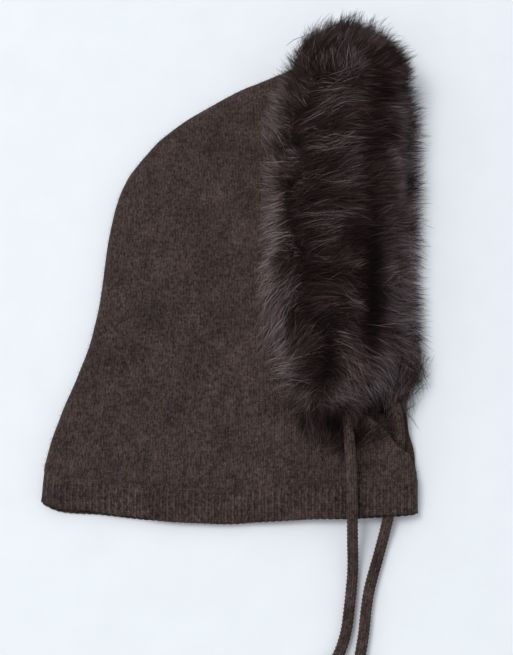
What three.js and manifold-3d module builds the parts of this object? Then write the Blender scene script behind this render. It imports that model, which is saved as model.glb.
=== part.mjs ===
// A knitted hood with a deep fur trim round the face and two knitted ties, laid flat on its left side.
// Lengths are in millimetres. X points towards the face, Y towards the crown, and Z up from the surface
// that the hood lies on. Every table is measured from the middle of the hem.
import * as THREE from "three";
import { mergeVertices } from "three/addons/utils/BufferGeometryUtils.js";
import Module from "manifold-3d";

// Where the middle of the hem lies when the centre of the hood's footprint is the origin.
const HEM_MIDDLE = new THREE.Vector3(2, -199.5, 0);

// Walls and gaps
const KNIT_WALL = 2.4;
const RIB_WALL = 3;
const GAP = 0.3;

// Heights of the middle of the wall above the surface, away from the seams and the fur
const LEFT_HEIGHT = KNIT_WALL / 2;
const RIGHT_HEIGHT = 10.8;
const RIGHT_NECK_HEIGHT = 13.8;

// The ribbed band
const BAND_HEIGHT = 24.5;
const BAND_ROWS = 3;
const BAND_SEAM_HEIGHT = 6;
const LEFT_HEM_DROP = 2;
const LEFT_HEM_DROP_ENDS_X = -40;

// The wall turns over into the seam within this distance, or this share of its width where it is narrow.
const BEND = 6;
const BEND_SHARE = 1 / 3;
const BEND_STEPS = 4;
const FLAT_STEPS = 12;

// The front of the neck is closed up to here, and the face opening starts above it.
const NECK_CLOSED_Y = 44;
const NECK_OPEN_Y = 53;

// The fur and the slit between its two legs, through which the face looks out
const FUR_SIDES = 28;
const FUR_TOP_ROUNDNESS = 2.3;
const FUR_BOTTOM_ROUNDNESS = 4;
const FUR_WIDEST_AT = 0.45;
const SLIT = 7.6;
const SLIT_START_Y = 78;
const SLIT_END_Y = 362;
const SLIT_INNER = { x: 70, z: 19 };
const SLIT_OUTER = { x: 150, z: 26 };

// The knitted ties
const TIE_DIAMETER = 8;
const TIE_SIDES = 10;
const TIE_STEPS = 26;

// The hem dips in the middle: height of the hem's edge along its width.
const HEM = [
  { x: -144, y: 10.3 },
  { x: -131, y: 6 },
  { x: -94, y: 3.4 },
  { x: -60, y: 0.4 },
  { x: -30, y: -1.9 },
  { x: 0, y: -2 },
  { x: 35, y: 0.6 },
  { x: 75, y: 3.6 },
  { x: 109, y: 5 },
  { x: 136, y: 8.3 },
];

// The seam that runs up the nape and over the crown, and its height above the surface.
const BACK_SEAM = [
  { y: 0, x: -143.5, z: 5.2 },
  { y: 40, x: -143.4, z: 5.2 },
  { y: 71, x: -137.5, z: 5.2 },
  { y: 103, x: -127.4, z: 5.2 },
  { y: 136, x: -117.9, z: 5.2 },
  { y: 170, x: -113.8, z: 5.2 },
  { y: 239, x: -110.6, z: 5.2 },
  { y: 275, x: -103, z: 5.2 },
  { y: 293, x: -92, z: 5.2 },
  { y: 311, x: -78.5, z: 5.2 },
  { y: 328, x: -60, z: 5.2 },
  { y: 346, x: -32.5, z: 5.4 },
  { y: 354, x: -19, z: 6 },
  { y: 361, x: -3, z: 7.5 },
  { y: 366, x: 14, z: 10 },
  { y: 370, x: 29, z: 12.5 },
  { y: 375, x: 44, z: 15 },
  { y: 384, x: 61, z: 17 },
];

// The front edge of the right side, on top: the closed neck, the curve under the chin and the face.
const RIGHT_EDGE = [
  { y: 0, x: 136.5, z: RIGHT_NECK_HEIGHT },
  { y: 40, x: 135.5, z: RIGHT_NECK_HEIGHT },
  { y: 48, x: 132.5, z: 14.6 },
  { y: 56, x: 125, z: 16 },
  { y: 66, x: 115, z: 18.5 },
  { y: 75, x: 102, z: 22 },
  { y: 83, x: 90.5, z: 25.5 },
  { y: 95, x: 84, z: 27.5 },
  { y: 120, x: 82.8, z: 28 },
  { y: 245, x: 80.3, z: 28 },
  { y: 335, x: 77.7, z: 28 },
  { y: 370, x: 76.3, z: 27 },
  { y: 384, x: 76, z: 25 },
];

// The front edge of the left side, which lies below and reaches further out.
const LEFT_EDGE = [
  { y: 0, x: 136.5, z: LEFT_HEIGHT },
  { y: 40, x: 135.5, z: LEFT_HEIGHT },
  { y: 50, x: 132, z: 2 },
  { y: 63, x: 129, z: 4.5 },
  { y: 78, x: 126.5, z: 8.5 },
  { y: 100, x: 123.5, z: 12 },
  { y: 131, x: 120, z: 14 },
  { y: 180, x: 113, z: 14 },
  { y: 240, x: 108, z: 14 },
  { y: 300, x: 102, z: 14 },
  { y: 350, x: 92, z: 14 },
  { y: 370, x: 84, z: 14 },
  { y: 384, x: 77.5, z: 13 },
];

// Rows of the side walls, closer together round the chin and over the crown
const ROW_SPANS = [
  { to: NECK_CLOSED_Y, rows: 3 },
  { to: 92, rows: 9 },
  { to: 275, rows: 10 },
  { to: 328, rows: 6 },
  { to: 372, rows: 14 },
  { to: 384, rows: 3 },
];

// Soft hollows in the right side: where each lies, how far it runs along and across, and its lean.
const DENTS = [
  { x: 8, y: 62, along: 34, across: 9, lean: 0.05, depth: 1.4 },
  { x: -62, y: 120, along: 60, across: 26, lean: -0.35, depth: 0.9 },
  { x: -10, y: 235, along: 80, across: 24, lean: 0.15, depth: 0.8 },
];

// The fur leg on top, from under the chin to over the crown
const RIGHT_FUR = [
  { y: 51, left: 69, right: 84, bottom: 16, top: 23 },
  { y: 54, left: 64, right: 90, bottom: 14, top: 29 },
  { y: 62, left: 58, right: 97, bottom: 14, top: 37 },
  { y: 76, left: 48, right: 104, bottom: 14, top: 46 },
  { y: 97, left: 36, right: 112, bottom: 14, top: 55 },
  { y: 130, left: 29.5, right: 114, bottom: 14, top: 61 },
  { y: 180, left: 27, right: 114, bottom: 14, top: 63 },
  { y: 240, left: 25.7, right: 114, bottom: 14, top: 63 },
  { y: 300, left: 25, right: 114, bottom: 14, top: 63 },
  { y: 340, left: 27, right: 117, bottom: 14, top: 62 },
  { y: 362, left: 33, right: 121, bottom: 14, top: 60 },
  { y: 378, left: 42, right: 119, bottom: 14, top: 56 },
  { y: 390, left: 53, right: 112, bottom: 14, top: 50 },
  { y: 398, left: 63, right: 102, bottom: 18, top: 44 },
  { y: 401, left: 72, right: 92, bottom: 25, top: 38 },
];

// The fur leg below, which shows past the upper one on the face side
const LEFT_FUR = [
  { y: 74, left: 113, right: 128, bottom: 3, top: 14 },
  { y: 78, left: 107, right: 131, bottom: 1, top: 17 },
  { y: 90, left: 96, right: 135.5, bottom: 0, top: 21 },
  { y: 110, left: 82, right: 138.5, bottom: 0, top: 23 },
  { y: 132, left: 74, right: 140, bottom: 0, top: 24 },
  { y: 180, left: 66, right: 138, bottom: 0, top: 24 },
  { y: 250, left: 63, right: 137, bottom: 0, top: 24 },
  { y: 293, left: 62, right: 135.5, bottom: 0, top: 24 },
  { y: 330, left: 60, right: 132.5, bottom: 0, top: 24 },
  { y: 358, left: 56, right: 129, bottom: 0, top: 25 },
  { y: 381, left: 58, right: 118, bottom: 1, top: 30 },
  { y: 392, left: 66, right: 108, bottom: 5, top: 30 },
  { y: 398, left: 74, right: 98, bottom: 11, top: 30 },
];

// The right tie comes out of the fur, lies on the right side and over the hem, and ends on the surface.
const RIGHT_TIE = [
  { x: 86.2, y: 68, z: 25.6 },
  { x: 87.2, y: 60, z: 23.2 },
  { x: 88, y: 50, z: 21 },
  { x: 89, y: 40, z: 20 },
  { x: 89.7, y: 28, z: 19.8 },
  { x: 90.2, y: 16, z: 20 },
  { x: 90.6, y: 6, z: 20 },
  { x: 90.8, y: -4, z: 18 },
  { x: 90.8, y: -14, z: 13.4 },
  { x: 90.9, y: -24, z: 8.2 },
  { x: 90.8, y: -34, z: 5 },
  { x: 90.1, y: -45, z: 4.2 },
  { x: 88.8, y: -60, z: 4.2 },
  { x: 87.2, y: -74, z: 4.2 },
  { x: 83.6, y: -87, z: 4.2 },
  { x: 78, y: -99, z: 4.2 },
  { x: 72.5, y: -110, z: 4.2 },
];

// The left tie comes out of the lower fur, runs down inside the neck and out under the hem.
const LEFT_TIE = [
  { x: 119.5, y: 89, z: 16.2 },
  { x: 121.5, y: 82, z: 15.4 },
  { x: 123.4, y: 73, z: 13.4 },
  { x: 124.8, y: 63, z: 10.8 },
  { x: 125, y: 52, z: 8.8 },
  { x: 123.8, y: 40, z: 7.8 },
  { x: 121.6, y: 26, z: 7.8 },
  { x: 118, y: 12, z: 7.8 },
  { x: 114.4, y: 0, z: 6.8 },
  { x: 111.4, y: -11, z: 4.6 },
  { x: 108.6, y: -22, z: 4.2 },
  { x: 105.4, y: -34, z: 4.2 },
  { x: 102.4, y: -47, z: 4.2 },
  { x: 100.6, y: -61, z: 4.2 },
  { x: 99.4, y: -75, z: 4.2 },
  { x: 97.4, y: -89, z: 4.2 },
  { x: 93.6, y: -106, z: 4.2 },
];

const KNIT_MATERIAL = { color: 0x3d3130, roughness: 0.95, metalness: 0 };
const RIB_MATERIAL = { color: 0x392d2c, roughness: 0.95, metalness: 0 };
const FUR_MATERIAL = { color: 0x2c2225, roughness: 0.7, metalness: 0 };
const TIE_MATERIAL = { color: 0x39312e, roughness: 0.95, metalness: 0 };

const wasm = await Module();
wasm.setup();

// A table's columns as smooth functions of its first column.
function smooth(table) {
  const [key, ...columns] = Object.keys(table[0]);
  const positions = table.map((row) => row[key]);
  const values = table.flatMap((row) => columns.map((column) => row[column]));
  const curve = new THREE.CubicInterpolant(positions, values, columns.length);
  return (position) => {
    const found = curve.evaluate(position);
    return Object.fromEntries(columns.map((column, index) => [column, found[index]]));
  };
}

const hemAt = smooth(HEM);
const backSeamAt = smooth(BACK_SEAM);
const rightEdgeAt = smooth(RIGHT_EDGE);
const leftEdgeAt = smooth(LEFT_EDGE);

// How far over the seam's bend a column has come, from 0 at the seam to 1 on the flat, and how far in.
function bendAt(step) {
  const angle = (Math.PI / 2) * (step / BEND_STEPS);
  return { rise: Math.sin(angle), inset: 1 - Math.cos(angle) };
}

// Columns across a wall: the bend at the back, the flat, and the bend at the front.
function columnsAcross() {
  const columns = [];
  for (let step = 0; step <= BEND_STEPS; step += 1) {
    const bend = bendAt(step);
    columns.push({ share: 0, inset: bend.inset, back: bend.rise, front: 1 });
  }
  for (let step = 1; step < FLAT_STEPS; step += 1) {
    columns.push({ share: step / FLAT_STEPS, inset: 1, back: 1, front: 1 });
  }
  for (let step = BEND_STEPS; step >= 0; step -= 1) {
    const bend = bendAt(step);
    columns.push({ share: 1, inset: bend.inset, back: 1, front: bend.rise });
  }
  return columns;
}

function rowsUp(start) {
  const rows = [start];
  let from = start;
  for (const span of ROW_SPANS) {
    for (let step = 1; step <= span.rows; step += 1) {
      rows.push(THREE.MathUtils.lerp(from, span.to, step / span.rows));
    }
    from = span.to;
  }
  return rows;
}

function dentAt(x, y) {
  let depth = 0;
  for (const dent of DENTS) {
    const up = y - dent.y;
    const over = x - dent.x - dent.lean * up;
    depth += dent.depth * Math.exp(-((over / dent.across) ** 2) - (up / dent.along) ** 2);
  }
  return depth;
}

// Heights of the two walls between their seams. Each rises towards the fur that its edge is sewn to.
const SIDES = {
  right: {
    edgeAt: rightEdgeAt,
    rise: { from: -20, to: 76 },
    height: (x, y) => RIGHT_HEIGHT - dentAt(x, y),
    seamOffset: GAP / 2,
    outwards: 1,
  },
  left: {
    edgeAt: leftEdgeAt,
    rise: { from: 22, to: 66 },
    height: () => LEFT_HEIGHT,
    seamOffset: -GAP / 2,
    outwards: -1,
  },
};

// The middle surface of one side wall: rows from the band to the crown, each from the nape to the face.
// closed is 1 for a row that ends in the seam at the front of the neck, and 0 for one with a free edge.
function sideGrid(side) {
  const columns = columnsAcross();
  return rowsUp(BAND_HEIGHT + GAP).map((row) => {
    const seam = backSeamAt(row);
    const edge = side.edgeAt(row);
    const closed = 1 - THREE.MathUtils.smoothstep(row, NECK_CLOSED_Y, NECK_OPEN_Y);
    const back = seam.x + KNIT_WALL / 2;
    const front = edge.x - (KNIT_WALL / 2) * closed;
    const slant = (backSeamAt(row + GAP).x - backSeamAt(row - GAP).x) / (2 * GAP);
    const longest = (front - back) * BEND_SHARE;
    const bends = { back: Math.min(BEND * Math.hypot(1, slant), longest), front: Math.min(BEND, longest) };
    const hemShare = 1 - THREE.MathUtils.smoothstep(row, BAND_HEIGHT, NECK_CLOSED_Y);
    const points = columns.map((column) => {
      const x = columnX(column, back, front, bends);
      const rise = THREE.MathUtils.smoothstep(x, side.rise.from, side.rise.to);
      const flatHeight = side.height(x, row);
      const open = THREE.MathUtils.lerp(flatHeight, Math.max(edge.z, flatHeight), rise);
      const over = column.back * (1 - closed * (1 - column.front));
      const z = THREE.MathUtils.lerp(seam.z + side.seamOffset, open, over);
      return new THREE.Vector3(x, row + hemAt(x).y * hemShare, z);
    });
    return { points, closed };
  });
}

// Where a column lies along its row, with the bends at both ends of the row as long as given.
function columnX(column, back, front, bends) {
  const flat = THREE.MathUtils.lerp(back + bends.back, front - bends.front, column.share);
  const turned = 1 - column.inset;
  return column.share === 1 ? flat + bends.front * turned : flat - bends.back * turned;
}

// The direction out of the middle surface at one point. In a seam the wall stands upright, and its upper
// face looks outwards on the upper side of the hood and inwards on the lower one.
function normalAt(grid, row, column, outwards) {
  const last = grid[row].points.length - 1;
  const up = grid[Math.min(row + 1, grid.length - 1)].points[column].clone();
  up.sub(grid[Math.max(row - 1, 0)].points[column]);
  const across = grid[row].points[Math.min(column + 1, last)].clone();
  across.sub(grid[row].points[Math.max(column - 1, 0)]);
  const normal = across.cross(up).normalize();
  const seamed = column === 0 ? 1 : grid[row].closed * (column === last ? 1 : 0);
  const facing = column === 0 ? outwards : -outwards;
  const upright = new THREE.Vector3(-up.y * facing, up.x * facing, 0).normalize();
  return normal.lerp(upright, outwards === 0 ? 0 : seamed).normalize();
}

// A middle surface moved along its own directions by a distance, with its rim moved out by grow.
function offsetRows(grid, distance, outwards = 0, grow = 0) {
  const lastRow = grid.length - 2;
  const lastColumn = grid[0].points.length - 2;
  return grid.map((row, rowPlace) =>
    row.points.map((middle, columnPlace) => {
      const innerRow = THREE.MathUtils.clamp(rowPlace, 1, lastRow);
      const innerColumn = THREE.MathUtils.clamp(columnPlace, 1, lastColumn);
      const outward = middle.clone().sub(grid[innerRow].points[innerColumn]).normalize();
      const normal = normalAt(grid, rowPlace, columnPlace, outwards);
      return middle.clone().addScaledVector(outward, grow).addScaledVector(normal, distance);
    }),
  );
}

// The closed solid between two surfaces of equal rows and columns.
function solidBetween(low, high) {
  const rows = low.length;
  const columns = low[0].length;
  const surfaces = [low, high];
  const positions = surfaces.flatMap((surface) => surface.flat().flatMap((point) => point.toArray()));
  const index = [];
  const id = (surface, row, column) => (surface * rows + row) * columns + column;
  const quad = (a, b, c, d) => index.push(a, b, c, a, c, d);
  for (let row = 0; row + 1 < rows; row += 1) {
    for (let column = 0; column + 1 < columns; column += 1) {
      quad(id(1, row, column), id(1, row, column + 1), id(1, row + 1, column + 1), id(1, row + 1, column));
      quad(id(0, row, column), id(0, row + 1, column), id(0, row + 1, column + 1), id(0, row, column + 1));
    }
    const end = columns - 1;
    quad(id(0, row + 1, 0), id(0, row, 0), id(1, row, 0), id(1, row + 1, 0));
    quad(id(0, row, end), id(0, row + 1, end), id(1, row + 1, end), id(1, row, end));
  }
  for (let column = 0; column + 1 < columns; column += 1) {
    const end = rows - 1;
    quad(id(0, 0, column), id(0, 0, column + 1), id(1, 0, column + 1), id(1, 0, column));
    quad(id(0, end, column + 1), id(0, end, column), id(1, end, column), id(1, end, column + 1));
  }
  return geometryOf(positions, index);
}

// A wall of one thickness round its middle surface.
function wallGeometry(grid, half, outwards = 0, grow = 0) {
  return solidBetween(offsetRows(grid, -half, outwards, grow), offsetRows(grid, half, outwards, grow));
}

function geometryOf(positions, index) {
  const geometry = new THREE.BufferGeometry();
  geometry.setAttribute("position", new THREE.Float32BufferAttribute(positions, 3));
  geometry.setIndex(index);
  return geometry;
}

// The ribbed band: a flattened ring with its two layers joined round the nape and the front.
function bandLoop() {
  const loop = [];
  const seam = backSeamAt(0);
  const back = seam.x + RIB_WALL / 2;
  const front = rightEdgeAt(0).x - RIB_WALL / 2;
  const top = (x) => {
    const rise = THREE.MathUtils.smoothstep(x, SIDES.right.rise.from, SIDES.right.rise.to);
    return THREE.MathUtils.lerp(RIGHT_HEIGHT, RIGHT_NECK_HEIGHT, rise);
  };
  const layers = [
    { height: () => RIB_WALL / 2, forward: true },
    { height: top, forward: false },
  ];
  for (const layer of layers) {
    const points = columnsAcross().map((column) => {
      const x = columnX(column, back, front, { back: BEND, front: BEND });
      const over = column.back * column.front;
      return new THREE.Vector2(x, THREE.MathUtils.lerp(BAND_SEAM_HEIGHT, layer.height(x), over));
    });
    points.pop();
    if (!layer.forward) {
      points.push(new THREE.Vector2(front, BAND_SEAM_HEIGHT));
      points.reverse();
      points.pop();
    }
    loop.push(...points);
  }
  return loop;
}

function bandGeometry() {
  const loop = bandLoop();
  const count = loop.length;
  const positions = [];
  const index = [];
  for (let row = 0; row <= BAND_ROWS; row += 1) {
    loop.forEach((point, place) => {
      const before = loop[(place + count - 1) % count];
      const after = loop[(place + 1) % count];
      const along = after.clone().sub(before).normalize();
      const outward = new THREE.Vector2(along.y, -along.x);
      const lower = THREE.MathUtils.clamp(1 - point.y / BAND_SEAM_HEIGHT, 0, 1);
      const drop = lower * THREE.MathUtils.clamp((LEFT_HEM_DROP_ENDS_X - point.x) / BAND_HEIGHT, 0, 1);
      const share = row / BAND_ROWS;
      const y = hemAt(point.x).y + BAND_HEIGHT * share - LEFT_HEM_DROP * drop * (1 - share);
      for (const side of [-1, 1]) {
        const offset = outward.clone().multiplyScalar((side * RIB_WALL) / 2).add(point);
        positions.push(offset.x, y, offset.y);
      }
    });
  }
  const id = (row, place, outer) => (row * count + (place % count)) * 2 + outer;
  const quad = (a, b, c, d) => index.push(a, b, c, a, c, d);
  for (let place = 0; place < count; place += 1) {
    const next = place + 1;
    for (let row = 0; row < BAND_ROWS; row += 1) {
      quad(id(row, place, 1), id(row + 1, place, 1), id(row + 1, next, 1), id(row, next, 1));
      quad(id(row, place, 0), id(row, next, 0), id(row + 1, next, 0), id(row + 1, place, 0));
    }
    quad(id(0, place, 0), id(0, place, 1), id(0, next, 1), id(0, next, 0));
    quad(id(BAND_ROWS, place, 1), id(BAND_ROWS, place, 0), id(BAND_ROWS, next, 0), id(BAND_ROWS, next, 1));
  }
  return geometryOf(positions, index);
}

// One leg of the fur: rounded sections along Y, closed at both ends.
function furLegGeometry(table) {
  const positions = [];
  const index = [];
  const power = (value, roundness) => Math.sign(value) * Math.abs(value) ** (2 / roundness);
  for (const row of table) {
    const middleX = (row.left + row.right) / 2;
    const middleZ = THREE.MathUtils.lerp(row.bottom, row.top, FUR_WIDEST_AT);
    for (let place = 0; place < FUR_SIDES; place += 1) {
      const angle = (2 * Math.PI * place) / FUR_SIDES;
      const upper = Math.sin(angle) >= 0;
      const roundness = upper ? FUR_TOP_ROUNDNESS : FUR_BOTTOM_ROUNDNESS;
      const reach = upper ? row.top - middleZ : middleZ - row.bottom;
      const x = middleX + ((row.right - row.left) / 2) * power(Math.cos(angle), roundness);
      const z = middleZ + reach * power(Math.sin(angle), roundness);
      positions.push(x, row.y, z);
    }
  }
  const ends = [table[0], table[table.length - 1]];
  for (const row of ends) {
    positions.push((row.left + row.right) / 2, row.y, (row.bottom + row.top) / 2);
  }
  const first = table.length * FUR_SIDES;
  const last = (table.length - 1) * FUR_SIDES;
  for (let place = 0; place < FUR_SIDES; place += 1) {
    const next = (place + 1) % FUR_SIDES;
    for (let ring = 0; ring < last; ring += FUR_SIDES) {
      const above = ring + FUR_SIDES;
      index.push(ring + place, above + place, above + next, ring + place, above + next, ring + next);
    }
    index.push(first, place, next, first + 1, last + next, last + place);
  }
  return geometryOf(positions, index);
}

function slitGrid() {
  const shares = [0, 1 / 2, 1];
  return shares.map((up) => {
    const y = THREE.MathUtils.lerp(SLIT_START_Y, SLIT_END_Y, up);
    const points = shares.map((share) => {
      const x = THREE.MathUtils.lerp(SLIT_INNER.x, SLIT_OUTER.x, share);
      return new THREE.Vector3(x, y, THREE.MathUtils.lerp(SLIT_INNER.z, SLIT_OUTER.z, share));
    });
    return { points, closed: 0 };
  });
}

// A route that starts one gap earlier, so that what is cut for it also clears the end.
function withLongerStart(route) {
  const [first, second] = route.map((point) => new THREE.Vector3(point.x, point.y, point.z));
  const start = first.clone().add(first.clone().sub(second).setLength(2 * GAP));
  return [start, ...route.slice(1)];
}

// A round tube along a route.
function tieGeometry(route, diameter) {
  const points = route.map((point) => new THREE.Vector3(point.x, point.y, point.z));
  const outline = Array.from({ length: TIE_SIDES }, (_, place) => {
    const angle = (2 * Math.PI * place) / TIE_SIDES;
    return new THREE.Vector2(Math.cos(angle), Math.sin(angle)).multiplyScalar(diameter / 2);
  });
  return new THREE.ExtrudeGeometry(new THREE.Shape(outline), {
    extrudePath: new THREE.CatmullRomCurve3(points, false, "centripetal"),
    steps: TIE_STEPS,
    bevelEnabled: false,
  });
}

function solidOf(geometry) {
  const bare = geometry.clone();
  bare.deleteAttribute("normal");
  bare.deleteAttribute("uv");
  const merged = mergeVertices(bare);
  return new wasm.Manifold(
    new wasm.Mesh({
      numProp: 3,
      vertProperties: new Float32Array(merged.attributes.position.array),
      triVerts: new Uint32Array(merged.index.array),
    }),
  );
}

function geometryFrom(solid) {
  const mesh = solid.getMesh();
  return geometryOf([...mesh.vertProperties], [...mesh.triVerts]);
}

// The fur trim: both legs and the fold over the crown, cut clear of the knitted walls that it is sewn
// to, of the hollow between them, of the slit for the face and of the ties that come out of it.
function furGeometry(rightGrid, leftGrid) {
  const clear = KNIT_WALL / 2 + GAP;
  const cuts = [
    wallGeometry(rightGrid, clear, SIDES.right.outwards, 2 * GAP),
    wallGeometry(leftGrid, clear, SIDES.left.outwards, 2 * GAP),
    solidBetween(offsetRows(leftGrid, 0), offsetRows(rightGrid, 0)),
    wallGeometry(slitGrid(), SLIT / 2),
    tieGeometry(withLongerStart(RIGHT_TIE), TIE_DIAMETER + 2 * GAP),
    tieGeometry(withLongerStart(LEFT_TIE), TIE_DIAMETER + 2 * GAP),
  ];
  let fur = solidOf(furLegGeometry(RIGHT_FUR)).add(solidOf(furLegGeometry(LEFT_FUR)));
  for (const cut of cuts) {
    fur = fur.subtract(solidOf(cut));
  }
  return geometryFrom(fur);
}

function piece(name, geometry, look) {
  const mesh = new THREE.Mesh(geometry, new THREE.MeshStandardMaterial(look));
  mesh.name = name;
  return mesh;
}

function sidePiece(name, side) {
  return piece(name, wallGeometry(sideGrid(side), KNIT_WALL / 2, side.outwards), KNIT_MATERIAL);
}

const hood = new THREE.Group();
hood.position.copy(HEM_MIDDLE);
hood.add(
  sidePiece("right_side", SIDES.right),
  sidePiece("left_side", SIDES.left),
  piece("rib_band", bandGeometry(), RIB_MATERIAL),
  piece("fur_trim", furGeometry(sideGrid(SIDES.right), sideGrid(SIDES.left)), FUR_MATERIAL),
  piece("right_tie", tieGeometry(RIGHT_TIE, TIE_DIAMETER), TIE_MATERIAL),
  piece("left_tie", tieGeometry(LEFT_TIE, TIE_DIAMETER), TIE_MATERIAL),
);

export default hood;
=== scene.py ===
"""Looks of a knitted hood with a deep fur trim and two knitted ties, lying flat on a pale floor.

Tables and routes are in millimetres from the middle of the hem, as in the part's source: X points to the
face, Y to the crown and Z up. placed() turns them into metres in the part's own frame. A pair of values
named after a direction says where something begins and where it is at its full. Waves are a height, a
pitch, a count and a seed.
"""

import math

import bmesh
import bpy
import numpy as np
from mathutils import Matrix, Vector
from mathutils.bvhtree import BVHTree
from mathutils.kdtree import KDTree


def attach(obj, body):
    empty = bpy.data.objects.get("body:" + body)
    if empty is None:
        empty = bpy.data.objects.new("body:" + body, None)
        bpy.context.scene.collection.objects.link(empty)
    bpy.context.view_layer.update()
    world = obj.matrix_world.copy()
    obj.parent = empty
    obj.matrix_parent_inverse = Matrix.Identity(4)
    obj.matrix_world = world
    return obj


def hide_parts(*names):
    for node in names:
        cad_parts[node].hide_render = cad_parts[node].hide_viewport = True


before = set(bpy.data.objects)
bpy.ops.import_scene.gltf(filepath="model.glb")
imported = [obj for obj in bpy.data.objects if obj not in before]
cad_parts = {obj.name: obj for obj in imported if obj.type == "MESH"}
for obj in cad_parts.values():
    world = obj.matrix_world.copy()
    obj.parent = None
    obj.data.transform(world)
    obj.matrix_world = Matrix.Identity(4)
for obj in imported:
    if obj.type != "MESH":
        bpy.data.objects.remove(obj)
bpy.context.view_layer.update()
chance = np.random.default_rng(11)

MM = 0.001
HEM_MIDDLE = np.array([2.0, -199.5, 0.0])
UPWARDS = np.array([0, 0, 1.0])


def placed(points):
    return (np.asarray(points, float) + HEM_MIDDLE) * MM


def unit(vectors):
    return vectors / np.maximum(np.linalg.norm(vectors, axis=-1, keepdims=True), 1e-9)


def ease(value, start, end):
    share = np.clip((value - start) / (end - start), 0, 1)
    return share * share * (3 - 2 * share)


def bell(gap, wide):
    return np.exp(-((gap / wide) ** 2))


def waves(points, height, pitch, count, seed):
    """A smooth field without a pattern, about as high as it says, whose hills lie about pitch apart."""
    source = np.random.default_rng(seed)
    turned = source.normal(size=(count, 3))
    turned = turned / np.linalg.norm(turned, axis=1, keepdims=True)
    scale = 2 * math.pi / (pitch * source.uniform(0.7, 1.6, count))
    phase = source.uniform(0, 2 * math.pi, count)
    total = np.sin(points @ (turned * scale[:, None]).T + phase).sum(axis=1)
    return height * (total / math.sqrt(count / 2))


def linked(name, data):
    made = bpy.data.objects.new(name, data)
    bpy.context.scene.collection.objects.link(made)
    return made


CAMERA_PLACE = (147.1, -153.7, 846.5)
CAMERA_RIGHT = (0.98889, 0.05053, -0.13979)
CAMERA_UP = (0.0, 0.94044, 0.33995)
CAMERA_BACK = (0.14864, -0.33617, 0.93000)


def add_camera():
    data = bpy.data.cameras.new("camera")
    data.lens = 64.6
    data.sensor_width = 36
    data.clip_start = 0.01
    camera = linked("camera", data)
    turned = Matrix((CAMERA_RIGHT, CAMERA_UP, CAMERA_BACK)).transposed().to_4x4()
    camera.matrix_world = Matrix.Translation(placed(CAMERA_PLACE)) @ turned
    bpy.context.scene.camera = camera


def mesh_piece(name, points, faces, material, tones, lie=None, uv=None):
    """One mesh object from points in millimetres and a list of arrays of faces.

    tones holds three numbers a point for the material, and lie the way the surface as a whole faces there.
    """
    mesh = bpy.data.meshes.new(name)
    points = placed(points).astype(np.float32)
    mesh.vertices.add(len(points))
    mesh.vertices.foreach_set("co", points.ravel())
    corners = np.concatenate([group.ravel() for group in faces]).astype(np.int32)
    sizes = np.concatenate([np.full(len(group), group.shape[1]) for group in faces])
    mesh.loops.add(len(corners))
    mesh.loops.foreach_set("vertex_index", corners)
    mesh.polygons.add(len(sizes))
    starts = (np.cumsum(sizes) - sizes).astype(np.int32)
    mesh.polygons.foreach_set("loop_start", starts)
    mesh.update(calc_edges=True)
    mesh.shade_smooth()
    layer = mesh.attributes.new("tones", "FLOAT_COLOR", "POINT")
    full = np.ones((len(points), 4), np.float32)
    full[:, :3] = tones
    layer.data.foreach_set("color", full.ravel())
    if lie is not None:
        layer = mesh.attributes.new("lie", "FLOAT_VECTOR", "POINT")
        layer.data.foreach_set("vector", lie.astype(np.float32).ravel())
    if uv is not None:
        layer = mesh.uv_layers.new(name="OFBake")
        layer.data.foreach_set("uv", uv[corners].astype(np.float32).ravel())
    mesh.materials.append(material)
    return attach(linked(name, mesh), "root")


def ring_quads(rows, count, closed=False):
    """The faces between rows of points round a ring, and between the last and the first if closed."""
    ring = np.arange(count)
    after = (ring + 1) % count
    low = np.arange(rows if closed else rows - 1)[:, None] * count
    high = (low + count) % (rows * count)
    return np.stack([low + ring, low + after, high + after, high + ring], axis=2).reshape(-1, 4)


# A ribbon's width along it, as the factors of 1, of the share and of its square
RIBBON_TAPER = (0.55, 1.5, -1.75)

# What a ribbon fills of its own cell of the UV map
UV_SIDES = (0.15, 0.85)
UV_ENDS = (0.1, 0.9)


def ribbons(curves, widths, facing, roll):
    """Tapered ribbons along curves (strand, step, xyz), each turned to face a direction and then rolled."""
    strands, steps, _ = curves.shape
    along = unit(np.gradient(curves, axis=1))
    side = unit(np.cross(along, facing[:, None, :]))
    lift = np.cross(side, along)
    angle = roll[:, None, None]
    side = side * np.cos(angle) + lift * np.sin(angle)
    share = np.linspace(0, 1, steps)
    taper = RIBBON_TAPER[0] + RIBBON_TAPER[1] * share + RIBBON_TAPER[2] * share**2
    half = taper[None, :, None] * widths[:, None, None] / 2
    pairs = np.stack([curves - side * half, curves + side * half], axis=2)[:, :-1]
    points = np.concatenate([pairs.reshape(strands, -1, 3), curves[:, -1:]], axis=1)
    count = 2 * steps - 1
    first = np.arange(strands)[:, None, None] * count
    quads = first + 2 * np.arange(steps - 2)[:, None] + [0, 1, 3, 2]
    tips = first[:, 0] + np.arange(count - 3, count)
    cells = math.ceil(math.sqrt(strands))
    cell = np.stack([np.arange(strands) % cells, np.arange(strands) // cells], axis=1)
    low, high = UV_ENDS
    ups = low + (high - low) * np.repeat(share[:-1], 2)
    inside = np.stack([np.tile(UV_SIDES, steps - 1), ups], axis=1)
    inside = np.concatenate([inside, [[0.5, high]]])
    uv = ((cell[:, None, :] + inside[None]) / cells).reshape(-1, 2)
    return points.reshape(-1, 3), [quads.reshape(-1, 4), tips], uv


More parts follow.
